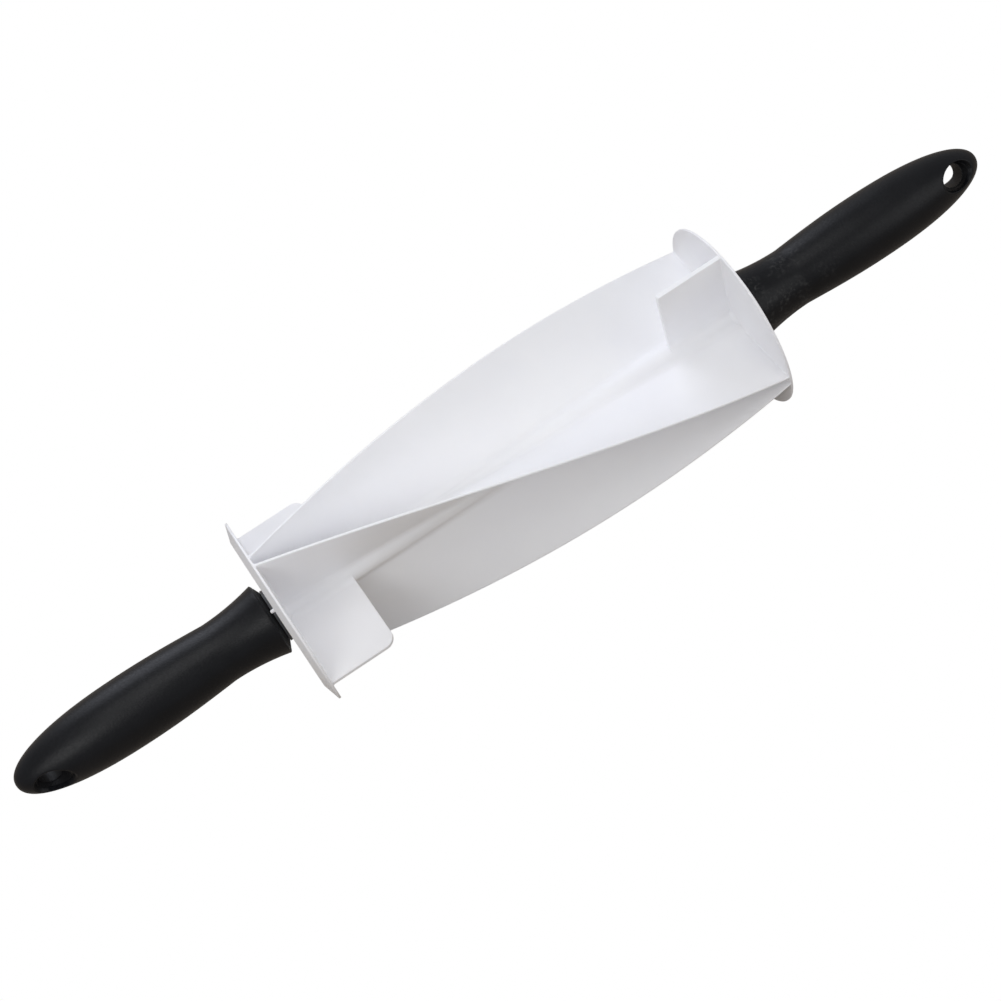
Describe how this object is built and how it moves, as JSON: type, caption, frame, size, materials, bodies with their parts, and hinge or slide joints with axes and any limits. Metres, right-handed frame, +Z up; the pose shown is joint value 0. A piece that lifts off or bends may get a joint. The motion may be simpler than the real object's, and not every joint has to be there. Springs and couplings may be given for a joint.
{
  "type": "croissant cutter roller",
  "caption": "Hand-held roller whose twisted blades between end discs cut rolled dough into croissant triangles, with a free-turning soft grip at either end.",
  "frame": {"origin": "on the roller's axis, halfway between the discs", "axes": "+X along the roller's axis to the right in the picture, +Z up, -Y towards the camera"},
  "size_m": [0.4218, 0.075, 0.075],
  "materials": {
    "white_plastic": "moulded, satin",
    "steel": "ground",
    "grey_plastic": "turned, low friction",
    "black_plastic": "moulded, dull",
    "bush_plastic": "acetal, smooth",
    "soft_grip": "soft-touch, matt"
  },
  "bodies": {
    "roller": {"cutter_body": "white_plastic", "axle_rod": "steel", "left_thrust_washer": "grey_plastic", "left_plain_washer": "steel", "left_retaining_clip": "steel", "right_thrust_washer": "grey_plastic", "right_plain_washer": "steel", "right_retaining_clip": "steel"},
    "left_handle": {"left_bearing_cap": "black_plastic", "left_nose_bush": "bush_plastic", "left_inner_bush": "bush_plastic", "left_handle_core": "black_plastic", "left_grip_sleeve": "soft_grip"},
    "right_handle": {"right_bearing_cap": "black_plastic", "right_nose_bush": "bush_plastic", "right_inner_bush": "bush_plastic", "right_handle_core": "black_plastic", "right_grip_sleeve": "soft_grip"}
  },
  "joints": [
    {"name": "left_handle_spin", "type": "hinge", "parent": "roller", "child": "left_handle", "pos_m": [-0.1043, 0, 0], "axis": [1, 0, 0], "continuous": true},
    {"name": "right_handle_spin", "type": "hinge", "parent": "roller", "child": "right_handle", "pos_m": [0.1043, 0, 0], "axis": [1, 0, 0], "continuous": true}
  ]
}
